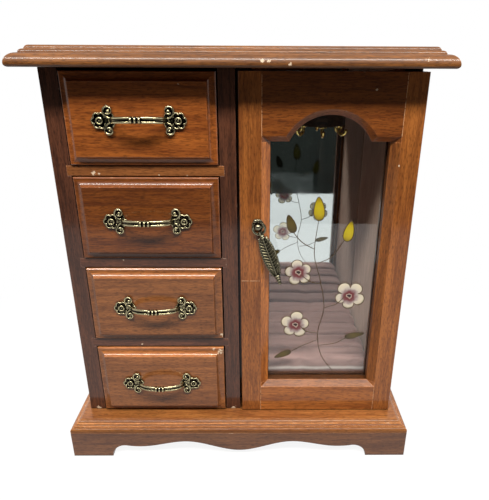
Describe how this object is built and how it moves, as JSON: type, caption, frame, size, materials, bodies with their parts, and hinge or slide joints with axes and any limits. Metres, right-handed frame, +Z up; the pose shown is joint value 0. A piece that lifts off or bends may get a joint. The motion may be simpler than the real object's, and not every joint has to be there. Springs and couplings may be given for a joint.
{
  "type": "jewelry cabinet",
  "caption": "Table-top wooden jewellery cabinet with drawers at the left, an arched glazed door over a mirrored compartment at the right, and a moulded top and base.",
  "frame": {"origin": "middle of the footprint, on the surface it stands on", "axes": "+Z up, the front with drawers and door faces -Y, +X to the viewer's right"},
  "size_m": [0.284, 0.152, 0.3265],
  "materials": {
    "red_wood": "satin lacquer",
    "dark_wood": "satin lacquer",
    "base_wood": "satin lacquer",
    "plain_wood": "unfinished",
    "velvet": "matte",
    "antique_brass": "antique, dark in the hollows",
    "bright_brass": "polished",
    "steel": "plain",
    "mirror": "polished",
    "glass": "polished"
  },
  "bodies": {
    "cabinet": {"top_panel": "red_wood", "base_board": "base_wood", "front_apron": "base_wood", "left_apron": "base_wood", "right_apron": "base_wood", "rear_apron": "base_wood", "corner_blocks": "plain_wood", "drawer_rail_1": "red_wood", "drawer_rail_2": "red_wood", "drawer_rail_3": "red_wood", "left_stile": "dark_wood", "middle_stile": "dark_wood", "left_side_panel": "dark_wood", "partition": "dark_wood", "dust_boards": "plain_wood", "right_side_panel": "dark_wood", "back_panel": "plain_wood", "door_stop": "dark_wood", "catch_magnets": "steel", "hinge_case_leaves": "bright_brass", "hinge_pins": "bright_brass", "left_wall_lining": "velvet", "right_wall_lining": "velvet", "mirror": "mirror", "raised_floor": "plain_wood", "ring_pad": "velvet", "carousel_mount": "dark_wood"},
    "door": {"door_left_stile": "red_wood", "door_right_stile": "red_wood", "door_top_rail": "red_wood", "door_bottom_rail": "red_wood", "door_glass": "glass", "glazing_beads": "plain_wood", "hinge_door_leaves": "bright_brass", "strike_plates": "steel", "pull_post": "antique_brass"},
    "door_pull": {"pull_pendant": "antique_brass"},
    "carousel": {"carousel_disc": "dark_wood", "carousel_hooks": "bright_brass"},
    "drawer_1": {"drawer_1_front": "red_wood", "drawer_1_walls": "plain_wood", "drawer_1_bottom": "plain_wood", "drawer_1_lining": "velvet", "drawer_1_pull": "antique_brass"},
    "drawer_2": {"drawer_2_front": "red_wood", "drawer_2_walls": "plain_wood", "drawer_2_bottom": "plain_wood", "drawer_2_lining": "velvet", "drawer_2_pull": "antique_brass"},
    "drawer_3": {"drawer_3_front": "red_wood", "drawer_3_walls": "plain_wood", "drawer_3_bottom": "plain_wood", "drawer_3_lining": "velvet", "drawer_3_pull": "antique_brass"},
    "drawer_4": {"drawer_4_front": "red_wood", "drawer_4_walls": "plain_wood", "drawer_4_bottom": "plain_wood", "drawer_4_lining": "velvet", "drawer_4_pull": "antique_brass"}
  },
  "joints": [
    {"name": "door_hinge", "type": "hinge", "parent": "cabinet", "child": "door", "pos_m": [0.1324, -0.0407, 0.172], "axis": [0, 0, 1], "range_deg": [0, 175]},
    {"name": "door_pull_swing", "type": "hinge", "parent": "door", "child": "door_pull", "pos_m": [0.0157, -0.0604, 0.2042], "axis": [0, -1, 0], "range_deg": [-45, 70]},
    {"name": "carousel_spin", "type": "hinge", "parent": "cabinet", "child": "carousel", "pos_m": [0.0668, 0.0135, 0.274], "axis": [0, 0, 1], "continuous": true},
    {"name": "drawer_1_slide", "type": "slide", "parent": "cabinet", "child": "drawer_1", "axis": [0, -1, 0], "range_m": [0, 0.085]},
    {"name": "drawer_2_slide", "type": "slide", "parent": "cabinet", "child": "drawer_2", "axis": [0, -1, 0], "range_m": [0, 0.085]},
    {"name": "drawer_3_slide", "type": "slide", "parent": "cabinet", "child": "drawer_3", "axis": [0, -1, 0], "range_m": [0, 0.085]},
    {"name": "drawer_4_slide", "type": "slide", "parent": "cabinet", "child": "drawer_4", "axis": [0, -1, 0], "range_m": [0, 0.085]}
  ]
}
